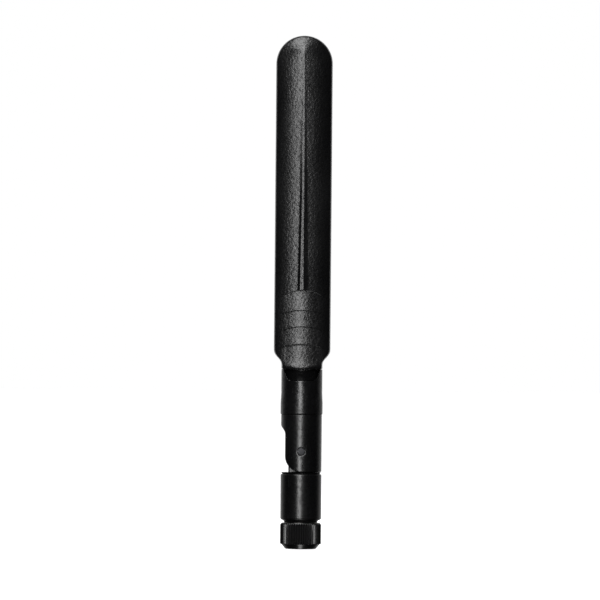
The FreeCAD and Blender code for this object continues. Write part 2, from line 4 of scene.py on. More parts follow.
import bpy
import bmesh
import numpy as np
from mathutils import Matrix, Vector


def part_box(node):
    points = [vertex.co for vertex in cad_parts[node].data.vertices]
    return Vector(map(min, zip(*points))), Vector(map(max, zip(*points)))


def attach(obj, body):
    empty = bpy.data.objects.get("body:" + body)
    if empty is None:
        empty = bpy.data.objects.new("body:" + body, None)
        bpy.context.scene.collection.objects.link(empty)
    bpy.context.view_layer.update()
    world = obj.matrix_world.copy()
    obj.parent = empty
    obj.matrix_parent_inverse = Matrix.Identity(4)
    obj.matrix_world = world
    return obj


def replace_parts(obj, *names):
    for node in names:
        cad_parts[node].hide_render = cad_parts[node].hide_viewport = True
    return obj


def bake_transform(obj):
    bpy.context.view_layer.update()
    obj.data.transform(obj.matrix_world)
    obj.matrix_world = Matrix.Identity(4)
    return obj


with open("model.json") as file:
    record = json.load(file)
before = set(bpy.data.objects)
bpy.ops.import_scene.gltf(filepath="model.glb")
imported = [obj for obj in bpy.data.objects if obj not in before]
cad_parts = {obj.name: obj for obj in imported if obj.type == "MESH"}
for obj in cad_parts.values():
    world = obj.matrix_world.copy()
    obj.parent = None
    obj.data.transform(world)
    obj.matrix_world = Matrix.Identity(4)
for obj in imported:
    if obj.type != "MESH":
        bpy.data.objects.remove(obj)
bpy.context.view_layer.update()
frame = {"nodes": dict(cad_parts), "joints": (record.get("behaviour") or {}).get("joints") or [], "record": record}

MM = 0.001                       # the shapes below are worked out in millimetres
TAU = 2 * math.pi


def span(node):
    """Lowest and highest corner of a CAD node in millimetres."""
    low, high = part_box(node)
    return np.array(low) / MM, np.array(high) / MM


# ---------------------------------------------------------------- sizes, from the frame where it has them
BLADE_LOW, BLADE_HIGH = span("radome_front")
FORK_LOW, FORK_HIGH = span("hinge_fork")
BASE_LOW, BASE_HIGH = span("base_housing")
NECK_LOW, NECK_HIGH = span("neck_sleeve")
SLEEVE_HIGH = span("grip_sleeve")[1]
NUT_LOW, NUT_HIGH = span("coupling_nut")
PIN_LOW, PIN_HIGH = span("hinge_pins")
SPAN_LOW, SPAN_HIGH = span("cable_hinge_span")
JOINTS = {j["name"]: j for j in frame["joints"]}

BARREL_R = SLEEVE_HIGH[0]
PIVOT_Z = JOINTS["tilt"]["pos_m"][2] / MM
HALF_W = BLADE_HIGH[0]                       # blade, half width
HALF_D = 5.2                                 # half thickness at the ridge, without the rib
DOME_Z = BLADE_HIGH[2] - HALF_W              # centre of the round end
TAIL_Z = BLADE_LOW[2]
WALL = 1.2                                   # of the blade's shells
STEM_R = 3.0                                 # the fork's stem, inside the blade
CAVITY_Z = 49.6                              # bottom of the blade's cavity

TEETH, TOOTH_DEPTH = 50, 0.3                 # knurled sleeve
GROOVE_SHADE_R = (4.72, 4.94)                        # painted shade: the knurl's grooves reflect little up to the first radius, fully from the second
LIP_TOP, LIP_R_TOP, LIP_R_MOUTH, MOUTH_R = 1.24, 4.72, 3.72, 3.36
SLEEVE_BEVEL = (0.31, 0.45)                  # the bevel at the teeth's upper ends, inward and down


# ---------------------------------------------------------------- mesh helpers
def new_object(name, mesh, slot, sharp):
    """An object with its slot's material; edges that bend by more than sharp degrees stay hard."""
    mesh.shade_smooth()
    mesh.set_sharp_from_angle(angle=math.radians(sharp))
    mesh.materials.append(MATERIALS[slot])
    made = bpy.data.objects.new(name, mesh)
    bpy.context.scene.collection.objects.link(made)
    return made


def piece(name, points, faces, body, slot, replaced, sharp=38):
    """A closed mesh in millimetres becomes a piece that rides a body and stands for a CAD node."""
    mesh = bpy.data.meshes.new(name)
    mesh.from_pydata((np.asarray(points) * MM).tolist(), [], [list(map(int, f)) for f in faces])
    cleaned = bmesh.new()
    cleaned.from_mesh(mesh)
    bmesh.ops.remove_doubles(cleaned, verts=cleaned.verts, dist=2e-7)
    bmesh.ops.dissolve_degenerate(cleaned, edges=cleaned.edges, dist=1e-7)
    bmesh.ops.recalc_face_normals(cleaned, faces=cleaned.faces)
    cleaned.to_mesh(mesh)
    cleaned.free()
    made = new_object(name, mesh, slot, sharp)
    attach(made, body)
    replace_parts(made, replaced)
    return made


def grid_faces(rows, columns, first=0, closed_rows=False, closed_columns=False):
    """Quads of a grid of points numbered row by row."""
    faces = []
    for r in range(rows if closed_rows else rows - 1):
        for c in range(columns if closed_columns else columns - 1):
            r2, c2 = (r + 1) % rows, (c + 1) % columns
            faces.append([first + r * columns + c, first + r * columns + c2,
                          first + r2 * columns + c2, first + r2 * columns + c])
    return faces


def rounded(corners, steps=4):
    """A closed (r, z) outline from corners (r, z, radius), each one rounded over that radius."""
    outline = []
    count = len(corners)
    for i, (x, z, radius) in enumerate(corners):
        here = np.array([x, z], float)
        before = np.array(corners[i - 1][:2], float) - here
        after = np.array(corners[(i + 1) % count][:2], float) - here
        if radius <= 0:
            outline.append(here)
            continue
        before, after = before / np.linalg.norm(before), after / np.linalg.norm(after)
        half = math.acos(float(np.clip(before @ after, -1, 1))) / 2
        reach = radius / math.tan(half)
        start, end = here + before * reach, here + after * reach
        for k in range(steps + 1):
            t = k / steps
            outline.append((1 - t) ** 2 * start + 2 * t * (1 - t) * here + t ** 2 * end)
    return np.array(outline)


def turned(outline, turns, shape=None):
    """Points and faces of a closed outline turned about Z. shape(r, z, angle) may change the radius."""
    angle = np.arange(turns) * TAU / turns
    points = []
    for r, z in outline:
        radius = np.full(turns, r) if shape is None else shape(r, z, angle)
        points.append(np.stack([radius * np.cos(angle), radius * np.sin(angle), np.full(turns, z)], 1))
    faces = grid_faces(len(outline), turns, closed_rows=True, closed_columns=True)
    return np.concatenate(points), faces


def smax(a, b, k):
    """Larger of two fields, with the corner between them rounded over about k."""
    return np.maximum(a, b) + np.maximum(k - np.abs(a - b), 0) ** 2 / (4 * k)


def smin(a, b, k):
    """Smaller of two fields, rounded in the same way."""
    return -smax(-a, -b, k)


def between(value, low, high):
    """Negative between two values, positive outside them."""
    return np.abs(value - (low + high) / 2) - (high - low) / 2


def eased(share):
    """A share from 0 to 1, with a smooth start and end."""
    return share * share * (3 - 2 * share)


def bezier(t, *poles):
    """Place on a cubic curve with four poles, for t from 0 to 1."""
    weights = [(1 - t) ** 3, 3 * t * (1 - t) ** 2, 3 * t ** 2 * (1 - t), t ** 3]
    return sum(k * p for k, p in zip(weights, poles))


def carved(field, low, high, step):
    """Points and faces of a field's zero surface: one point in each cell that the surface crosses.

    A field is negative inside the piece, positive outside, and about a distance near the surface.
    """
    axes = [np.arange(a - 1.5 * step, b + 2.5 * step, step) for a, b in zip(low, high)]
    value = field(*np.meshgrid(*axes, indexing="ij"))
    inside = value < 0
    size = np.array(value.shape) - 1
    total, hits = np.zeros((*size, 3)), np.zeros(size)
    for axis in range(3):
        others = [a for a in range(3) if a != axis]
        for du in (0, 1):
            for dv in (0, 1):
                start = [0, 0, 0]
                start[others[0]], start[others[1]] = du, dv
                stop = list(start)
                stop[axis] = 1
                near = tuple(slice(s, s + n) for s, n in zip(start, size))
                far = tuple(slice(s, s + n) for s, n in zip(stop, size))
                a, b = value[near], value[far]
                crossed = inside[near] != inside[far]
                offset = np.zeros((*size, 3))
                offset[..., others[0]], offset[..., others[1]] = du, dv
                offset[..., axis] = np.where(crossed, a / np.where(crossed, a - b, 1), 0)
                total += offset * crossed[..., None]
                hits += crossed
    full = hits > 0
    number = np.full(size, -1)
    number[full] = np.arange(full.sum())
    cells = np.argwhere(full)
    points = cells + total[full] / hits[full][:, None]
    points = points * step + np.array([a[0] for a in axes])
    faces = []
    for axis in range(3):
        u, v = (axis + 1) % 3, (axis + 2) % 3
        lower = [slice(None)] * 3
        upper = [slice(None)] * 3
        lower[axis], upper[axis] = slice(0, -1), slice(1, None)
        crossed = inside[tuple(lower)] != inside[tuple(upper)]
        edge = np.argwhere(crossed)
        edge = edge[(edge[:, u] > 0) & (edge[:, v] > 0) & (edge[:, u] < size[u]) & (edge[:, v] < size[v])]
        ring = []
        for du, dv in ((0, 0), (-1, 0), (-1, -1), (0, -1)):
            cell = edge.copy()
            cell[:, u] += du
            cell[:, v] += dv
            ring.append(number[tuple(cell.T)])
        faces.append(np.stack(ring, 1))
    faces = np.concatenate(faces)
    small = 0.2 * step
    for _ in range(3):                       # Newton steps draw the points on to the surface
        here = field(*points.T)
        slope = np.stack([(field(*(points + d).T) - field(*(points - d).T)) / (2 * small)
                          for d in np.eye(3) * small], 1)
        length = np.maximum((slope ** 2).sum(1), 0.05)
        points = points - np.clip((here / length)[:, None] * slope, -0.4 * step, 0.4 * step)
    return points, faces


# ---------------------------------------------------------------- materials
class Graph:
    """A node tree, with the links and sums that the materials and the studio's world share."""

    def __init__(self, tree):
        self.tree = tree

    def link(self, a, b):
        self.tree.links.new(a, b)

    def ramp(self, value, low, high, out_low=0.0, out_high=1.0):
        """Maps low..high to out_low..out_high, and holds the ends."""
        node = self.tree.nodes.new("ShaderNodeMapRange")
        node.inputs["From Min"].default_value, node.inputs["From Max"].default_value = low, high
        node.inputs["To Min"].default_value, node.inputs["To Max"].default_value = out_low, out_high
        self.link(value, node.inputs["Value"])
        return node.outputs["Result"]

    def math(self, operation, a, b=0.0):
        """A math node on links or numbers."""
        node = self.tree.nodes.new("ShaderNodeMath")
        node.operation = operation
        for socket, value in zip(node.inputs, (a, b)):
            if isinstance(value, (int, float)):
                socket.default_value = value
            else:
                self.link(value, socket)
        return node.outputs["Value"]


class Nodes(Graph):
    """A material's node tree, with the few kinds of node that the surfaces here are built from."""

    def __init__(self, name):
        self.material = bpy.data.materials.new(name)
        self.material.use_nodes = True
        super().__init__(self.material.node_tree)
        self.shader = self.tree.nodes["Principled BSDF"]
        self.place = self.tree.nodes.new("ShaderNodeTexCoord").outputs["Object"]

    def noise(self, size_mm, detail=2.0, stretch=(1, 1, 1), rough=0.5):
        """Noise whose features are about size_mm across, stretched along an axis if asked."""
        mapping = self.tree.nodes.new("ShaderNodeMapping")
        mapping.inputs["Scale"].default_value = [1 / (size_mm * MM * s) for s in stretch]
        noise = self.tree.nodes.new("ShaderNodeTexNoise")
        noise.inputs["Scale"].default_value = 1.0
        noise.inputs["Detail"].default_value = detail
        noise.inputs["Roughness"].default_value = rough
        self.link(self.place, mapping.inputs["Vector"])
        self.link(mapping.outputs["Vector"], noise.inputs["Vector"])
        return noise.outputs["Fac"]

    def distance(self, axes):
        """Distance from the origin along the given axes: (1, 1, 0) is the distance from the Z axis."""
        kept = self.tree.nodes.new("ShaderNodeVectorMath")
        kept.operation = "MULTIPLY"
        kept.inputs[1].default_value = axes
        self.link(self.place, kept.inputs[0])
        length = self.tree.nodes.new("ShaderNodeVectorMath")
        length.operation = "LENGTH"
        self.link(kept.outputs["Vector"], length.inputs[0])
        return length.outputs["Value"]

    def colour(self, value, dark, light):
        """Base colour between two tones, by a value from 0 to 1."""
        mix = self.tree.nodes.new("ShaderNodeMix")
        mix.data_type = "RGBA"
        mix.inputs["A"].default_value = (*dark, 1)
        mix.inputs["B"].default_value = (*light, 1)
        self.link(value, mix.inputs["Factor"])
        self.link(mix.outputs["Result"], self.shader.inputs["Base Color"])

    def bump(self, height, depth_mm):
        """Normal of a surface whose relief is depth_mm deep."""
        node = self.tree.nodes.new("ShaderNodeBump")
        node.inputs["Strength"].default_value = 1.0
        node.inputs["Distance"].default_value = depth_mm * MM
        self.link(height, node.inputs["Height"])
        return node.outputs["Normal"]

    def finish(self, normal, roughness, **constants):
        """Links the surface's normal and roughness, sets the constants, and gives the material."""
        self.link(normal, self.shader.inputs["Normal"])
        self.link(roughness, self.shader.inputs["Roughness"])
        for socket, value in constants.items():
            self.shader.inputs[socket.replace("_", " ")].default_value = value
        return self.material


def moulded_plastic(name, tone, gloss, grain_mm, grain_depth, mottle=0.25, scuffs=0.0, grooves=None):
    """Black moulded plastic: spark-eroded grain, slow tone changes, and rubbed marks if asked.

    grooves is ((shaded radius, unshaded radius), (low z, high z)): between those heights the specular
    level is cut down up to the first radius and full from the second, a painted shade in the groove bottoms.
    """
    n = Nodes(name)
    fine = n.noise(grain_mm, 1.5)
    coarse = n.noise(grain_mm * 2.6, 1.0)
    patches = n.noise(6.0, 3.0, stretch=(1, 1, 2.5))
    grain = n.math("ADD", n.math("MULTIPLY", fine, 0.35), n.math("MULTIPLY", coarse, 0.65))
    normal = n.bump(grain, grain_depth)
    shine = n.ramp(grain, 0.38, 0.5, 0.3, 0.5)
    if grooves:
        (shaded_r, unshaded_r), (low, high) = grooves
        # painted shade: the groove bottoms reflect less than the crests, as if shaded, only within the knurl's
        # band
        groove_shade = n.ramp(n.distance((1, 1, 0)), shaded_r * MM, unshaded_r * MM, 0.12, 1.0)
        above_middle = n.math("SUBTRACT", n.distance((0, 0, 1)), (low + high) / 2 * MM)
        half, edge = (high - low) / 2 * MM, 0.05 * MM
        outside = n.ramp(n.math("ABSOLUTE", above_middle), half - edge, half + edge)
        shine = n.math("MULTIPLY", shine, n.math("MAXIMUM", groove_shade, outside))
    n.link(shine, n.shader.inputs["Specular IOR Level"])
    light = [c * (1 + 2 * mottle) + 0.0014 for c in tone]
    shade = n.math("ADD", n.math("MULTIPLY", patches, 0.6), n.math("MULTIPLY", fine, 0.4))
    rough = n.ramp(patches, 0.3, 0.7, gloss - 0.03, gloss + 0.04)
    if scuffs:
        streaks = n.noise(0.35, 4.0, stretch=(1, 1, 9), rough=0.7)
        marks = n.noise(2.2, 3.0)
        worn = n.math("MULTIPLY", n.ramp(streaks, 0.56, 0.66), n.ramp(marks, 0.5, 0.62))
        rough = n.math("ADD", rough, n.math("MULTIPLY", worn, scuffs))
        shade = n.math("ADD", shade, n.math("MULTIPLY", worn, 1.5))
    n.colour(n.ramp(shade, 0.3, 0.75), [c * (1 - mottle) for c in tone], light)
    return n.finish(normal, rough, IOR=1.5)


def plated_metal(name, tone, gloss, lines=(1, 1, 1), depth=0.004):
    """Turned and plated metal: fine tool lines and slightly uneven tarnish."""
    n = Nodes(name)
    tool = n.noise(0.05, 2.0, stretch=lines)
    tarnish = n.noise(1.4, 3.0)
    n.colour(n.ramp(tarnish, 0.35, 0.7), [c * 0.72 for c in tone], tone)
    rough = n.ramp(tarnish, 0.3, 0.7, gloss, gloss + 0.12)
    return n.finish(n.bump(tool, depth), rough, Metallic=1.0)


def waxy_plastic(name, tone, gloss, subsurface=0.15):
    """PTFE, nylon and jackets: smooth, a little cloudy."""
    n = Nodes(name)
    cloud = n.noise(0.6, 3.0)
    n.colour(n.ramp(cloud, 0.3, 0.7), [c * 0.86 for c in tone], tone)
    rough = n.ramp(n.noise(0.25, 2.0), 0.3, 0.7, gloss, gloss + 0.1)
    return n.finish(n.bump(cloud, 0.006), rough, Subsurface_Weight=subsurface,
                    Subsurface_Scale=0.0004)


def rough_rubber(name, tone, size_mm, depth):
    """Rubber and foam: open, pitted surface."""
    n = Nodes(name)
    cells = n.noise(size_mm, 4.0, rough=0.65)
    n.colour(n.ramp(cells, 0.35, 0.65), [c * 0.6 for c in tone], tone)
    return n.finish(n.bump(cells, depth), n.ramp(cells, 0.3, 0.7, 0.75, 0.95))


def glass_epoxy(name):
    """Green solder mask over woven glass."""
    n = Nodes(name)
    warp = n.noise(0.12, 1.0, stretch=(1, 1, 14))
    weft = n.noise(0.12, 1.0, stretch=(14, 1, 1))
    weave = n.math("MAXIMUM", warp, weft)
    n.colour(n.ramp(weave, 0.45, 0.75), (0.012, 0.075, 0.028), (0.03, 0.15, 0.06))
    return n.finish(n.bump(weave, 0.01), n.ramp(n.noise(3.0), 0.3, 0.7, 0.28, 0.4), IOR=1.52)


def woven_braid(name, tone):
    """Tinned wire braid: strands from one noise stretched along Z."""
    n = Nodes(name)
    strands = n.noise(0.09, 1.0, stretch=(1, 1, 3))
    n.colour(n.ramp(strands, 0.35, 0.65), [c * 0.35 for c in tone], tone)
    return n.finish(n.bump(strands, 0.05), n.ramp(strands, 0.3, 0.7, 0.5, 0.3), Metallic=1.0)


BLACK = (0.002, 0.002, 0.0022)
MATERIALS = {
    "blade_plastic": moulded_plastic("blade_plastic", BLACK, 0.3, 0.26, 0.1),
    "neck_plastic": moulded_plastic("neck_plastic", BLACK, 0.28, 0.4, 0.05, scuffs=0.25),
    "hinge_plastic": moulded_plastic("hinge_plastic", BLACK, 0.28, 0.3, 0.008, scuffs=0.1),
    # grip_plastic carries a painted shade in the knurl's grooves
    "grip_plastic": moulded_plastic(
        "grip_plastic", (0.0034, 0.0034, 0.0036), 0.21, 0.12, 0.006,
        grooves=(GROOVE_SHADE_R, (LIP_TOP, SLEEVE_HIGH[2] - SLEEVE_BEVEL[1] / 2))),
    "pin_metal": plated_metal("pin_metal", (0.03, 0.03, 0.032), 0.35),
    "nut_metal": plated_metal("nut_metal", (0.72, 0.69, 0.63), 0.16, lines=(12, 12, 1)),
    "shell_gold": plated_metal("shell_gold", (0.88, 0.62, 0.24), 0.17, lines=(12, 12, 1)),
    "contact_gold": plated_metal("contact_gold", (0.93, 0.68, 0.28), 0.14),
    "spring_bronze": plated_metal("spring_bronze", (0.62, 0.38, 0.17), 0.3),
    "ptfe": waxy_plastic("ptfe", (0.86, 0.86, 0.83), 0.4),
    "seal_rubber": rough_rubber("seal_rubber", (0.02, 0.02, 0.02), 0.1, 0.01),
    "washer_nylon": waxy_plastic("washer_nylon", (0.76, 0.73, 0.62), 0.42),
    "ferrule_metal": plated_metal("ferrule_metal", (0.66, 0.64, 0.6), 0.24, lines=(12, 12, 1)),
    "board_fr4": glass_epoxy("board_fr4"),
    "board_copper": plated_metal("board_copper", (0.82, 0.42, 0.24), 0.28, depth=0.002),
    "solder": plated_metal("solder", (0.68, 0.69, 0.71), 0.2, depth=0.01),
    "cable_jacket": waxy_plastic("cable_jacket", (0.018, 0.018, 0.019), 0.3, subsurface=0.0),
    "cable_braid": woven_braid("cable_braid", (0.72, 0.71, 0.69)),
    "cable_core": waxy_plastic("cable_core", (0.84, 0.84, 0.82), 0.35),
    "cable_wire": plated_metal("cable_wire", (0.78, 0.77, 0.74), 0.22, lines=(1, 1, 20)),
    "shrink_plastic": moulded_plastic("shrink_plastic", (0.012, 0.012, 0.012), 0.5, 0.3, 0.01),
    "foam": rough_rubber("foam", (0.16, 0.16, 0.17), 0.35, 0.08),
}


# ---------------------------------------------------------------- blade shells
SECTION_EDGE, SECTION_REACH = 0.915, 0.065   # where the face ends; reach of the corner's second pole
SECTION_CORNER = 0.52                        # the corner's third pole, as a share of the depth
RIDGE_SLOPE = math.tan(math.radians(6.5))
CROWN_BEND = 0.0042
SHOULDER_Z = (44.9, 48.7)
SHOULDER_POLES = (1.6, 1.9)                  # reach of the S from its lower and its upper end
UNDER_Z = (43.5, 44.45)                      # the lower edge's underside, where the tail begins
TAIL_R = (3.78, 4.62)                        # half thickness of the tail, bottom and top
TAIL_W = (4.2, 4.3)                          # half width of the tail
TAIL_EDGE = (0.12, 0.2)                      # its lower edge's rounding, inward and up
RIB_Z = (63.2, 86.0, 97.0, 112.5)            # heights at which the rib's sizes are given
RIB_TOP = {-1: (0.72, 0.36, 0.28, 0.15),     # from the ridge to the edge of its flat top, left and right
           1: (0.2, 0.2, 0.2, 0.15)}
RIB_RUN = {-1: (0.5, 0.5, 0.7, 0.35),        # width of its sloped sides
           1: (1.2, 0.8, 0.55, 0.35)}
RIB_HEIGHT = (0.3, 0.19, 0.06, 0.0)
RIB_SIDE = 1.2                               # above 1, the sloped sides are hollow
RIB_FADE = 0.8                               # height over which its upper end runs out
GRIP_CRESTS = [(63.2, 7.6), (58.3, 12.0), (54.3, 12.0), (50.1, 12.0)]   # height, radius of the arch
GRIP_SINK = (0.15, 0.13, 0.13, 0.24)         # how far each step lies below the crown
GRIP_FLARE = (1.4, 1.4, 1.4, 2.0)            # height over which it flares out above the next arch
GRIP_LEDGE = 0.22                            # height of the downward-facing ledge under an arch
GRIP_SHAVE = 0.12                            # the crown takes this much off the ridge
GRIP_CROWN_R = 13.0
GRIP_FADE_X, GRIP_FADE = (3.4, 5.6), (1.0, 0.15)   # the steps run out towards the sides
ARCH_ROWS = (1.4, 1.1, 0.85, 0.6, 0.4, 0.22, 0.1, 0.0, -0.06, -0.12, -0.18, -0.24)
STRAIGHT_Z = (46.4, 69.0)                    # the mesh rows are straight at these heights, bowed between
LOWER_BOW, LOWER_BOW_REACH = -0.08, 3.3      # the lower edge hangs lowest in the middle
SEAM_GROOVE = 0.07
RIDGE_FADE = (2.4, 5.4)                      # distance from the dome's centre over which the ridge ends


def crown_drop(x):
    """How far the crowned face lies below the ridge's line, at a distance from it."""
    return np.abs(x) * RIDGE_SLOPE + CROWN_BEND * np.abs(x) ** 3


def section(t, w, d):
    """Half of the blade's section: t is 0 at the ridge, 1 where the face ends, 2 at the seam."""
    edge_x = SECTION_EDGE * w
    edge_y = d - crown_drop(edge_x)
    reach = SECTION_REACH * w
    slope = RIDGE_SLOPE + 3 * CROWN_BEND * edge_x ** 2
    s = np.clip(t - 1, 0, 1)
    corner_x = bezier(s, edge_x, edge_x + reach, w, w)
    corner_y = bezier(s, edge_y, edge_y - reach * slope, SECTION_CORNER * d, 0)
    face = t <= 1
    return np.where(face, t * edge_x, corner_x), np.where(face, d - crown_drop(t * edge_x), corner_y)


def shoulder_width(z):
    """Half width of the blade at a height: full above the shoulders, then an S down to the barrel."""
    t = np.linspace(0, 1, 60)
    low, high = SHOULDER_Z
    heights = bezier(t, low, low + SHOULDER_POLES[0], high - SHOULDER_POLES[1], high)
    widths = bezier(t, BARREL_R, BARREL_R, HALF_W, HALF_W)
    return np.interp(z, heights, widths)


def along_rib(z, sizes):
    """One of the rib's sizes at a height."""
    return np.interp(z, RIB_Z, sizes)


def row_width(z):
    """Half width of the blade at the ends of a bowed row, which lie lower than its middle."""
    width = HALF_W
    for _ in range(6):                       # settles, because the drop depends on the width
        width = float(shoulder_width(z - row_drop(z, width)))
    return width


def blade_columns(z, hand):
    """Column places on one half at a height, as section's t: close together at the rib, then even."""
    width = SECTION_EDGE * row_width(z)
    top = along_rib(z, RIB_TOP[hand])
    foot = top + along_rib(z, RIB_RUN[hand])
    rib = [0, 0.6 * top, top - 0.05, top + 0.05, 0.5 * (top + foot), foot - 0.06, foot + 0.08]
    face = np.linspace(foot / width + 0.06, 1, 9)
    corner = np.linspace(1, 1.97, 15)[1:]
    return np.concatenate([np.array(rib) / width, face, corner, [1.985, 2.0]])


def rib_rise(x, z, hand):
    """Height of the rib above the blade's face."""
    top = along_rib(z, RIB_TOP[hand])
    run = along_rib(z, RIB_RUN[hand])
    height = along_rib(z, RIB_HEIGHT)
    level = height + crown_drop(x)
    slope = np.clip((top + run - np.abs(x)) / run, 0, 1)
    rise = np.where(np.abs(x) <= top, level, (height + crown_drop(top)) * slope ** RIB_SIDE)
    return rise * np.clip((RIB_Z[-1] + RIB_FADE - z) / RIB_FADE, 0, 1)


def arch_curvature(z):
    """How strongly the mesh rows bow at a height, so that they lie along the grip's arches."""
    crests = GRIP_CRESTS[::-1]
    heights = [UNDER_Z[1], STRAIGHT_Z[0], *(z for z, _ in crests), STRAIGHT_Z[1]]
    bows = [LOWER_BOW, 0.0, *(1 / radius for _, radius in crests), 0.0]
    return float(np.interp(z, heights, bows))


def row_drop(z, x):
    """How far a bowed row lies below its middle. The lower edge bows the other way, and less far out."""
    bow = arch_curvature(z)
    reach = np.abs(x) if bow > 0 else np.minimum(np.abs(x), LOWER_BOW_REACH)
    return bow * reach ** 2 / 2


def grip_sink(z):
    """How far the grip lies below the crown at a row's height: a ledge under each arch, then a flare."""
    crests = [c[0] for c in GRIP_CRESTS] + [UNDER_Z[1] - 0.1]
    for upper, lower, sink, flare in zip(crests, crests[1:], GRIP_SINK, GRIP_FLARE):
        if lower < z <= upper:
            ledge = min(1.0, (upper - z) / GRIP_LEDGE)
            rise = 1 - min(1.0, (z - lower) / flare)
            return sink * (1 - rise ** 2) * eased(ledge)
    return 0.0


def blade_rows():
    """Heights of the mesh rows up to the dome, dense at the arches and the lower edge."""
    tail = [*np.linspace(TAIL_Z, TAIL_Z + 0.25, 3), *np.linspace(TAIL_Z + 0.6, UNDER_Z[0] - 0.1, 8)]
    shoulders = np.linspace(UNDER_Z[1], SHOULDER_Z[1] + 0.2, 18)
    arches = [crest + above for crest, _ in GRIP_CRESTS for above in ARCH_ROWS]
    grip, upper = np.arange(49.4, 68, 0.55), np.arange(68.5, DOME_Z - 1.0, 1.5)
    rows = np.sort(np.concatenate([tail, shoulders, arches, grip, upper, [DOME_Z]]))
    return rows[np.concatenate([[True], np.diff(rows) > 0.03])]


def outer_row(z, hand):
    """One row of one half of the blade's outside: arrays of distance, depth and height."""
    t = blade_columns(z, hand)
    w = row_width(z)
    if z < UNDER_Z[0]:
        share = (z - TAIL_Z) / (UNDER_Z[0] - TAIL_Z)
        angle = t / 2 * math.pi / 2
        edge = TAIL_EDGE[0] * max(0.0, 1 - (z - TAIL_Z) / TAIL_EDGE[1]) ** 2
        x = (np.interp(share, [0, 1], TAIL_W) - edge) * np.sin(angle)
        y = (np.interp(share, [0, 1], TAIL_R) - edge) * np.cos(angle)
        return x, y, np.full_like(x, z)
    x, y = section(t, w, HALF_D)
    height = z - row_drop(z, x)
    if z <= GRIP_CRESTS[0][0] - 0.03:
        fade = np.interp(np.abs(x), GRIP_FADE_X, GRIP_FADE)
        crown = HALF_D - GRIP_SHAVE - grip_sink(z) * fade - x ** 2 / (2 * GRIP_CROWN_R)
        y = np.where(t < 1.9, smin(y, crown, 0.12), y)
    else:
        y = y + np.where(t < 1, rib_rise(x, z, hand), 0)
    x = x - np.where(t >= 2.0, SEAM_GROOVE, 0)
    return x, y, height


def width_step(q):
    """Share of the step in width, against how far the lower edge has turned under."""
    return eased(np.clip((q - 0.4) / 0.35, 0, 1))


def underside_rows(hand):
    """Rows that turn the blade's lower edge under, from the full section to the tail."""
    top = outer_row(UNDER_Z[1], hand)
    bottom = outer_row(UNDER_Z[0] - 1e-6, hand)
    rows = []
    for q in np.linspace(0, 1, 13)[1:-1]:
        inward = 1 - math.cos(q * math.pi / 2)
        down = math.sin(q * math.pi / 2)
        x = top[0] + (bottom[0] - top[0]) * width_step(q)
        y = top[1] + (bottom[1] - top[1]) * inward
        rows.append((x, y, top[2] + (bottom[2] - top[2]) * down))
    return rows[::-1]


def inner_row(z, hand):
    """The same row on the inside: the stem's bore below, the cavity above."""
    t = blade_columns(z, hand)
    if z <= CAVITY_Z:
        angle = t / 2 * math.pi / 2
        bore = STEM_R + 0.03
        return bore * np.sin(angle), bore * np.cos(angle), np.full_like(t, z)
    x, y = section(t, HALF_W - WALL, HALF_D - WALL)
    return x, y, np.full_like(t, z)


def dome_rows(row, ridge):
    """The last row swung up about the dome's centre. With ridge 1, the ridge goes on up into the dome."""
    x, y, _ = row
    fade = eased(np.clip((x - RIDGE_FADE[0]) / (RIDGE_FADE[1] - RIDGE_FADE[0]), 0, 1))
    upright = math.pi / 2
    swung = []
    for swing in [*np.linspace(0, upright, 26)[1:-1], 0.985 * upright, upright]:
        lift = (crown_drop(x) - crown_drop(x * math.cos(swing))) * (1 - fade) * ridge
        swung.append((x * math.cos(swing), y + lift, DOME_Z + x * math.sin(swing)))
    return swung


def joined_rows(halves):
    """Both halves' rows joined at the ridge: a list of (x, depth, height) from left to right."""
    joined = []
    for left, right in zip(halves[-1], halves[1]):
        x = np.concatenate([-left[0][::-1], right[0][1:]])
        joined.append((x, *(np.concatenate([a[::-1], b[1:]]) for a, b in zip(left[1:], right[1:]))))
    return joined


def blade_shell(name, side):
    """Closed shell of one half of the blade; side is -1 for the front and 1 for the rear."""
    heights = blade_rows()
    tail, above = heights[heights < UNDER_Z[0]], heights[heights >= UNDER_Z[0]]
    outer_halves, inner_halves = {}, {}
    for hand in (-1, 1):
        underside = underside_rows(hand)
        outer = [outer_row(z, hand) for z in tail] + underside + [outer_row(z, hand) for z in above]
        # inside, each row lies a little higher than the last, so that no two are the same
        inner_heights = [*tail, *[UNDER_Z[0] + 0.1] * len(underside), *above]
        inner = [inner_row(z + 1e-3 * i, hand) for i, z in enumerate(inner_heights)]
        outer_halves[hand] = outer + dome_rows(outer[-1], 1)
        inner_halves[hand] = inner + dome_rows(inner[-1], 0)
    outer, inner = joined_rows(outer_halves), joined_rows(inner_halves)
    points = [np.stack([x, side * y, z], 1) for x, y, z in outer + inner]
    rows, columns = len(outer), len(outer[0][0])
    inside = rows * columns
    faces = grid_faces(rows, columns) + grid_faces(rows, columns, first=inside)
    for column in (0, columns - 1):
        for row in range(rows - 1):
            a, b = row * columns + column, (row + 1) * columns + column
            faces.append([a, b, b + inside, a + inside])
    for column in range(columns - 1):
        faces.append([column, column + 1, column + 1 + inside, column + inside])
    node = "radome_front" if side < 0 else "radome_rear"
    return piece(name, np.concatenate(points), faces, "blade", "blade_plastic", node, sharp=34)


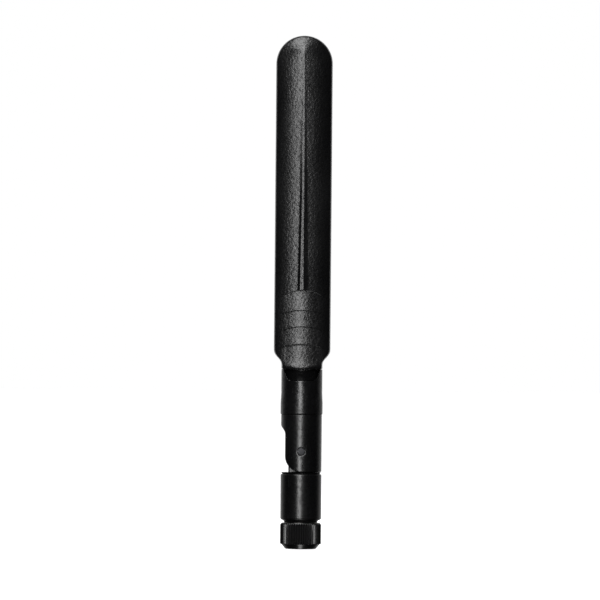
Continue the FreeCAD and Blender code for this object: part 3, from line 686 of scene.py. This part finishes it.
# ---------------------------------------------------------------- hinge parts
GRID = 0.14                                  # cell size of the carved pieces
EDGE = 0.16                                  # rounding of the fork's moulded edges
FORK_R = BARREL_R - 0.02
FLAT_X, FLAT_TOP, CHAMFER_SLOPE = -3.95, 28.5, 1.5   # the cut-away on the left, and the chamfer above it
EAR_ROUND_R = 3.9
SLOT_HALF, SLOT_TOP, WEB_X = 2.2, 27.5, 3.35
PIN_R = (PIN_HIGH[0] - PIN_LOW[0]) / 2
PIN_EAR_GAP, PIN_TONGUE_GAP = 0.03, 0.04
PIN_SINK_Y, PIN_SINK_SLOPE = 4.86, 0.9       # the ears are countersunk outside this
BORE_R = 1.2                                 # way for the cable
CORE_R = 3.5                                 # under the neck sleeve
KEY_HALF = 2.7                               # the stem's flats in the blade
GROOVE_Z, GROOVE_R = (46.6, 47.8), 2.45      # the stem's snap groove
FUNNEL_ABOVE, FUNNEL_SLOPE, FUNNEL_DEPTH = 2.5, 0.32, 0.8
STEP_Z = NECK_LOW[2]


def fork_field(x, y, z):
    """Two ears, the web on the right, and the stem with its cable bore."""
    radius = np.hypot(x, y)
    barrel = smax(radius - FORK_R, between(z, FORK_LOW[2], STEP_Z), EDGE)
    along = (FLAT_X - x - (z - FLAT_TOP) / CHAMFER_SLOPE) * math.cos(math.atan(1 / CHAMFER_SLOPE))
    corner_x, corner_z = FLAT_X + EAR_ROUND_R - x, FORK_LOW[2] + EAR_ROUND_R - z
    corner = np.hypot(np.maximum(corner_x, 0), corner_z) - EAR_ROUND_R
    barrel = smax(barrel, np.where(corner_z > 0, corner, smin(FLAT_X - x, along, 0.3)), EDGE)
    slot = np.maximum(np.maximum(np.abs(y) - SLOT_HALF, x - WEB_X), z - SLOT_TOP)
    barrel = smax(barrel, -slot, EDGE)
    sink = np.maximum(np.abs(y) - PIN_SINK_Y, 0) * PIN_SINK_SLOPE
    pin = np.hypot(x, z - PIVOT_Z) - (PIN_R + PIN_EAR_GAP + sink)
    barrel = smax(barrel, -pin, 0.05)
    core = np.maximum(radius - CORE_R, between(z, STEP_Z - 1, TAIL_Z))
    stem = np.maximum(radius - STEM_R, np.abs(y) - KEY_HALF)
    stem = np.maximum(stem, between(z, TAIL_Z - 0.5, FORK_HIGH[2]))
    stem = np.maximum(stem, -np.maximum(GROOVE_R - radius, between(z, *GROOVE_Z)))
    body = np.minimum(barrel, np.minimum(core, stem))
    flare = np.clip((SLOT_TOP + FUNNEL_ABOVE - z) * FUNNEL_SLOPE, 0, FUNNEL_DEPTH)
    return smax(body, -np.maximum(radius - (BORE_R + flare), SLOT_TOP - 1 - z), 0.08)


COLLAR_LOW, COLLAR_TOP = 7.05, 18.24
COLLAR_CHAMFER, COLLAR_ROUND = 0.36, 0.3     # its lower edge and its upper edge
BOSS_R, BOSS_TOP = (4.5, 4.88), 18.72        # radius at the collar and at its top
SPIGOT_R, SPIGOT_LOW = (3.88, 4.3), 6.27     # radius at its lower end and at the collar
BOSS_LEAN, SPIGOT_LEAN = 0.77, 0.88          # about the cosine of each cone's lean
POCKET_R, POCKET_TOP = 3.65, 7.3
SWIVEL_BORE_R, SWIVEL_BORE_TOP = 2.55, 15.3
RING_GROOVE_R, RING_GROOVE_Z = 3.1, (9.3, 9.9)
TONGUE_R, TONGUE_HALF, TONGUE_ROUND = 3.12, 1.9, 0.45
CABLE_SLOT_HALF, CABLE_SLOT_RIGHT, CABLE_SLOT_BOTTOM = 1.0, 1.75, 18.9


def base_field(x, y, z):
    """The collar with its spigot, boss and hinge tongue, and the ways through it."""
    radius = np.hypot(x, y)
    collar = smax(radius - BARREL_R, z - COLLAR_TOP, COLLAR_ROUND)
    collar = smax(collar, COLLAR_LOW - z, 0.06)
    chamfer = (radius - (BARREL_R - COLLAR_CHAMFER) - (z - COLLAR_LOW)) * math.sqrt(0.5)
    collar = smax(collar, chamfer, 0.08)
    boss = (radius - np.interp(z, (COLLAR_TOP, BOSS_TOP), BOSS_R)) * BOSS_LEAN
    boss = smax(boss, between(z, COLLAR_TOP - 1, BOSS_TOP), 0.06)
    spigot = (radius - np.interp(z, (SPIGOT_LOW, COLLAR_LOW), SPIGOT_R)) * SPIGOT_LEAN
    spigot = smax(spigot, between(z, SPIGOT_LOW, COLLAR_LOW + 1), 0.06)
    tongue = np.where(z > PIVOT_Z, np.hypot(x, z - PIVOT_Z), np.abs(x)) - TONGUE_R
    tongue = smax(np.abs(y) - TONGUE_HALF, tongue, TONGUE_ROUND)
    tongue = np.maximum(tongue, COLLAR_TOP - 1 - z)
    body = smin(np.minimum(np.minimum(collar, boss), spigot), tongue, 0.12)
    pocket = np.maximum(radius - POCKET_R, z - POCKET_TOP)
    bore = np.maximum(radius - SWIVEL_BORE_R, z - SWIVEL_BORE_TOP)
    groove = np.maximum(radius - RING_GROOVE_R, between(z, *RING_GROOVE_Z))
    bore = np.minimum(np.minimum(pocket, bore), groove)
    narrow = np.abs(y) - CABLE_SLOT_HALF
    way = np.maximum(np.maximum(radius - BORE_R, narrow), z - PIVOT_Z)
    slot = np.maximum(np.maximum(narrow, x - CABLE_SLOT_RIGHT), CABLE_SLOT_BOTTOM - z)
    pin = np.hypot(x, z - PIVOT_Z) - (PIN_R + PIN_TONGUE_GAP)
    holes = np.minimum(np.minimum(bore, way), np.minimum(slot, pin))
    return smax(body, -holes, 0.1)


NECK_R = NECK_HIGH[0]
NECK_LEAD = (0.1, 0.3)                       # lead-in at its lower end, inward and up
NECK_TAPER_Z = (35.6, 38.1)                  # narrows to the barrel's radius between these
NECK_BORE_R = 3.53                           # round the fork's core
TAIL_HOLE_D, TAIL_GAP = 5.3, 0.03            # half depth of the tail's oval hole, and its play in width
WINDOW_Z = 41.2                              # bottom of the U-shaped window
WINDOW_RISE = (0, 0.5, 1.9)                  # heights above it, and half widths there
WINDOW_HALF = (3.3, 3.65, 4.05)
WINDOW_TOP_HALF = (4.85, 5.3)                # half width at the sleeve's top and 1 mm above it
WINDOW_ROUND, WINDOW_DEPTH_Y = 0.9, 2.2


def neck_field(x, y, z):
    """The sleeve over the stem, fitted round the blade's tail, with a window front and back."""
    radius = np.hypot(x, y)
    outer = np.interp(z, [STEP_Z, STEP_Z + NECK_LEAD[1], *NECK_TAPER_Z],
                      [NECK_R - NECK_LEAD[0], NECK_R, NECK_R, BARREL_R])
    body = smax(radius - outer, between(z, STEP_Z, NECK_HIGH[2] + 0.2), 0.12)
    inner = np.where(z < TAIL_Z, radius - NECK_BORE_R, 1e3)
    down = np.clip((UNDER_Z[1] - z) / (UNDER_Z[1] - UNDER_Z[0]), 0, 1)
    width = BARREL_R - (BARREL_R - TAIL_W[1]) * width_step(np.arcsin(down) * 2 / math.pi)
    tail = np.hypot(x / (width + TAIL_GAP), y / TAIL_HOLE_D) - 1
    inner = np.minimum(inner, np.maximum(tail * TAIL_W[1], TAIL_Z - z))
    body = smax(body, -inner, 0.06)
    heights = [*(WINDOW_Z + rise for rise in WINDOW_RISE), NECK_HIGH[2], NECK_HIGH[2] + 1]
    half = np.interp(z, heights, WINDOW_HALF + WINDOW_TOP_HALF)
    window = smax(np.abs(x) - half, WINDOW_Z - z, WINDOW_ROUND)
    window = np.maximum(window * 0.9, WINDOW_DEPTH_Y - np.abs(y))
    return smax(body, -window, 0.28)


def carved_piece(name, field, low, high, body, slot, node, step=GRID):
    """A piece from its field, between two corners that hold all of it."""
    points, faces = carved(field, low, high, step)
    return piece(name, points, faces, body, slot, node, sharp=50)


def pin_piece():
    """Both stub pins, with a turned edge at each end."""
    radius = PIN_R - 0.02
    inner, outer = 1.05, PIN_HIGH[1] - 0.03
    outline = rounded([(0.0, inner, 0), (radius, inner, 0.1), (radius, outer, 0.12), (0.0, outer, 0)])
    points, faces = turned(outline, 48)
    points = np.stack([points[:, 0], points[:, 2], PIVOT_Z + points[:, 1]], 1)
    mirrored = points * (1, -1, 1)
    both = [list(f) for f in faces] + [[i + len(points) for i in f] for f in faces]
    return piece("stub_pins", np.concatenate([points, mirrored]), both, "blade", "pin_metal",
                 "hinge_pins")


def cable_span():
    """The cable through the hinge, between the collar and the fork, as a straight tube."""
    rings, turns = 61, 24
    radius = (SPAN_HIGH[0] - SPAN_LOW[0]) / 2
    heights = np.linspace(SPAN_LOW[2], SPAN_HIGH[2], rings)
    angle = np.arange(turns) * TAU / turns
    points = [(0, 0, heights[0])]
    for z in heights:
        points += [(radius * math.cos(a), radius * math.sin(a), z) for a in angle]
    points.append((0, 0, heights[-1]))
    faces = grid_faces(rings, turns, first=1, closed_columns=True)
    last = len(points) - 1
    for k in range(turns):
        faces.append([0, 1 + (k + 1) % turns, 1 + k])
        faces.append([last, last - turns + k, last - turns + (k + 1) % turns])
    mesh = bpy.data.meshes.new("cable_bend")
    mesh.from_pydata((np.array(points) * MM).tolist(), [], faces)
    made = new_object("cable_bend", mesh, "cable_jacket", 50)
    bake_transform(made)
    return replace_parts(made, "cable_hinge_span")


# ---------------------------------------------------------------- nut and grip sleeve
THREAD_R, THREAD_PITCH, THREAD_DEPTH = 2.85, 25.4 / 36, 0.36
THREAD_Z = (0.6, 3.4)
THREAD_FADE = 0.15                           # height over which its upper end runs out
NUT_MOUTH_R, NUT_CORNER_R, NUT_BORE_R = 3.4, 4.43, 2.95
NUT_RING_Z, NUT_RING_R = (5.44, 5.96), 3.25  # groove for the coupling ring
RELIEF_TOP, RELIEF_R = 5.25, 3.3             # wider stretch above the thread
SLEEVE_SEAT = (4.46, 1.5)                    # radius and lower end of the hexagon's seat in the sleeve
NUT_FLATS = NUT_HIGH[1] * 2                  # across the hexagon's flats, which face Y


def hexagon(angle, flats, corner):
    """Radius of a hexagon with turned corners, flats facing Y."""
    turn = np.mod(angle, math.pi / 3) - math.pi / 6
    return np.minimum(flats / 2 / np.cos(turn), corner)


def sleeve_piece():
    """The knurled sleeve: a tapered lip, V-shaped teeth with bevelled upper ends, and a hexagon inside."""
    top = SLEEVE_HIGH[2]
    seat_r, seat_low = SLEEVE_SEAT
    teeth_rows = (2.0, 3.0, 4.2, top - SLEEVE_BEVEL[1])
    bevel = [(BARREL_R - SLEEVE_BEVEL[0] * share, top - SLEEVE_BEVEL[1] * (1 - share), 0)
             for share in (k / 6 for k in range(1, 7))]
    outline = rounded([
        (MOUTH_R, 0.0, 0.06), (LIP_R_MOUTH, 0.0, 0.4), (LIP_R_TOP, LIP_TOP - 0.06, 0.1),
        (BARREL_R, LIP_TOP, 0.12), *((BARREL_R, z, 0) for z in teeth_rows), *bevel,
        (seat_r, top, 0.08), (seat_r, seat_low, 0), (3.5, NUT_LOW[2], 0), (MOUTH_R, NUT_LOW[2], 0),
    ])

    def shape(r, z, angle):
        if r > LIP_R_TOP + 0.02 and z > LIP_TOP - 0.12:
            flank = np.abs(2 * np.mod(TEETH * angle / TAU, 1.0) - 1)
            depth = TOOTH_DEPTH * np.minimum(flank, 0.9) / 0.9
            if z > teeth_rows[0]:
                return np.minimum(BARREL_R - depth, r)
            return r - depth * min(1.0, (r - LIP_R_TOP) / (BARREL_R - LIP_R_TOP))
        if 3.4 < r < seat_r + 0.01 and z > LIP_TOP:
            return hexagon(angle, NUT_FLATS, r)
        return np.full(len(angle), r)

    points, faces = turned(outline, TEETH * 10, shape)
    return piece("knurled_sleeve", points, faces, "nut", "grip_plastic", "grip_sleeve", sharp=40)


def nut_piece():
    """The hexagon nut with its helical thread, and a groove for the coupling ring."""
    low, high = NUT_LOW[2], NUT_HIGH[2]
    ring_low, ring_high = NUT_RING_Z
    outline = [(MOUTH_R - 0.1, low), (NUT_MOUTH_R, low), (NUT_CORNER_R, low + 1.0),
               (NUT_CORNER_R, high - 0.15), (4.3, high)]
    outline += [(NUT_BORE_R, high), (NUT_BORE_R, ring_high), (NUT_RING_R, ring_high),
                (NUT_RING_R, ring_low), (NUT_BORE_R, ring_low), (NUT_BORE_R, RELIEF_TOP)]
    outline += [(RELIEF_R, RELIEF_TOP), (RELIEF_R, THREAD_Z[1] + 0.02)]
    outline += [(THREAD_R, z) for z in np.linspace(THREAD_Z[1], THREAD_Z[0], 64)]

    def shape(r, z, angle):
        if r == THREAD_R:
            phase = np.mod(z / THREAD_PITCH - angle / TAU, 1.0)
            groove = np.clip(1.25 - np.abs(phase - 0.5) * 3.0, 0, 1)
            fade = min(1.0, (THREAD_Z[1] - z) / THREAD_FADE)
            return r + THREAD_DEPTH * groove * fade
        if r > 4.2:
            return hexagon(angle, NUT_FLATS, r)
        return np.full(len(angle), r)

    points, faces = turned(outline, 96, shape)
    return piece("threaded_nut", points, faces, "nut", "nut_metal", "coupling_nut", sharp=30)


# ---------------------------------------------------------------- studio
AIM_Z = 60.7 * MM
CAMERA_DISTANCE = 1728 * MM
CAMERA_SIDE = -0.62 * MM
CAMERA_ROLL = -0.5                           # degrees
LENS_MM, SENSOR_MM = 425, 36
LIGHT_DISTANCE = 0.9
FLOOR_HALF, FLOOR_Z = 3.0, -0.0004


def camera():
    """Straight from the front, with a long lens."""
    data = bpy.data.cameras.new("camera")
    data.lens, data.sensor_width = LENS_MM, SENSOR_MM
    data.clip_start, data.clip_end = 0.01, 50
    made = bpy.data.objects.new("camera", data)
    made.location = (CAMERA_SIDE, -CAMERA_DISTANCE, AIM_Z)
    made.rotation_euler = (math.radians(90), math.radians(CAMERA_ROLL), 0)
    bpy.context.scene.collection.objects.link(made)
    bpy.context.scene.camera = made


def softbox(name, direction, size, radiance):
    """Area light that faces the antenna's middle; direction is (azimuth to the left, elevation)."""
    left, up = (math.radians(a) for a in direction)
    toward = Vector((-math.sin(left) * math.cos(up), -math.cos(left) * math.cos(up), math.sin(up)))
    data = bpy.data.lights.new(name, "AREA")
    data.shape, data.size, data.size_y = "RECTANGLE", size[0], size[1]
    data.energy = radiance * math.pi * size[0] * size[1]
    made = bpy.data.objects.new(name, data)
    made.location = Vector((0, 0, AIM_Z)) + toward * LIGHT_DISTANCE
    made.rotation_euler = toward.to_track_quat("Z", "Y").to_euler()
    made.visible_camera = False
    bpy.context.scene.collection.objects.link(made)


def studio_world():
    """White to the camera; to the surfaces, white behind the antenna, dim in front of it and below."""
    world = bpy.data.worlds.new("studio")
    world.use_nodes = True
    bpy.context.scene.world = world
    graph = Graph(world.node_tree)
    place = graph.tree.nodes.new("ShaderNodeTexCoord")
    split = graph.tree.nodes.new("ShaderNodeSeparateXYZ")
    seen = graph.tree.nodes.new("ShaderNodeLightPath")
    graph.link(place.outputs["Generated"], split.inputs["Vector"])
    behind = graph.math("POWER", graph.ramp(split.outputs["Y"], 0.08, 1.0), 1.6)
    lit = graph.math("MULTIPLY", behind, graph.ramp(split.outputs["Z"], -0.7, -0.15))
    lit = graph.math("ADD", lit, 0.003)
    back = graph.tree.nodes["Background"]
    back.inputs["Color"].default_value = (1, 1, 1, 1)
    graph.link(graph.math("MAXIMUM", lit, seen.outputs["Is Camera Ray"]), back.inputs["Strength"])


def floor():
    """White floor just under the nut's mouth, like a light table from above and clear from below."""
    mesh = bpy.data.meshes.new("floor")
    corners = [(-1, -1), (1, -1), (1, 1), (-1, 1)]
    mesh.from_pydata([(x * FLOOR_HALF, y * FLOOR_HALF, FLOOR_Z) for x, y in corners], [], [(0, 1, 2, 3)])
    made = bpy.data.objects.new("floor", mesh)
    material = bpy.data.materials.new("floor_white")
    material.use_nodes = True
    tree = material.node_tree
    shader = tree.nodes["Principled BSDF"]
    shader.inputs["Base Color"].default_value = (0.8, 0.8, 0.8, 1)
    shader.inputs["Roughness"].default_value = 0.9
    shader.inputs["Emission Color"].default_value = (1, 1, 1, 1)
    shader.inputs["Emission Strength"].default_value = 0.9
    clear = tree.nodes.new("ShaderNodeBsdfTransparent")
    facing = tree.nodes.new("ShaderNodeNewGeometry")
    mix = tree.nodes.new("ShaderNodeMixShader")
    tree.links.new(facing.outputs["Backfacing"], mix.inputs["Fac"])
    tree.links.new(shader.outputs["BSDF"], mix.inputs[1])
    tree.links.new(clear.outputs["BSDF"], mix.inputs[2])
    tree.links.new(mix.outputs["Shader"], tree.nodes["Material Output"].inputs["Surface"])
    mesh.materials.append(material)
    bpy.context.scene.collection.objects.link(made)
    made.visible_glossy = False
    made.visible_diffuse = False
    made.visible_shadow = False


def dress_cad_nodes():
    """The CAD nodes that stay get their slot's material."""
    slots = {s["node"]: s["material_slot"] for s in frame["record"]["subparts"]}
    for name, node in frame["nodes"].items():
        node.data.materials.clear()
        node.data.materials.append(MATERIALS[slots[name]])


camera()
dress_cad_nodes()
blade_shell("blade_shell_front", -1)
blade_shell("blade_shell_rear", 1)
carved_piece("fork_body", fork_field, FORK_LOW, FORK_HIGH, "blade", "hinge_plastic", "hinge_fork")
carved_piece("collar_body", base_field, BASE_LOW - (0, 0, 0.2), BASE_HIGH, "swivel_base",
             "hinge_plastic", "base_housing")
carved_piece("neck_body", neck_field, NECK_LOW, NECK_HIGH, "blade", "neck_plastic", "neck_sleeve",
             step=0.125)
pin_piece()
cable_span()
sleeve_piece()
nut_piece()
floor()
studio_world()
softbox("key", (8, 18), (0.28, 1.0), 10.0)
softbox("top", (20, 62), (0.42, 0.6), 8.5)
softbox("under", (8, -84), (0.14, 0.4), 5.0)
bpy.context.scene.view_settings.view_transform = "Standard"
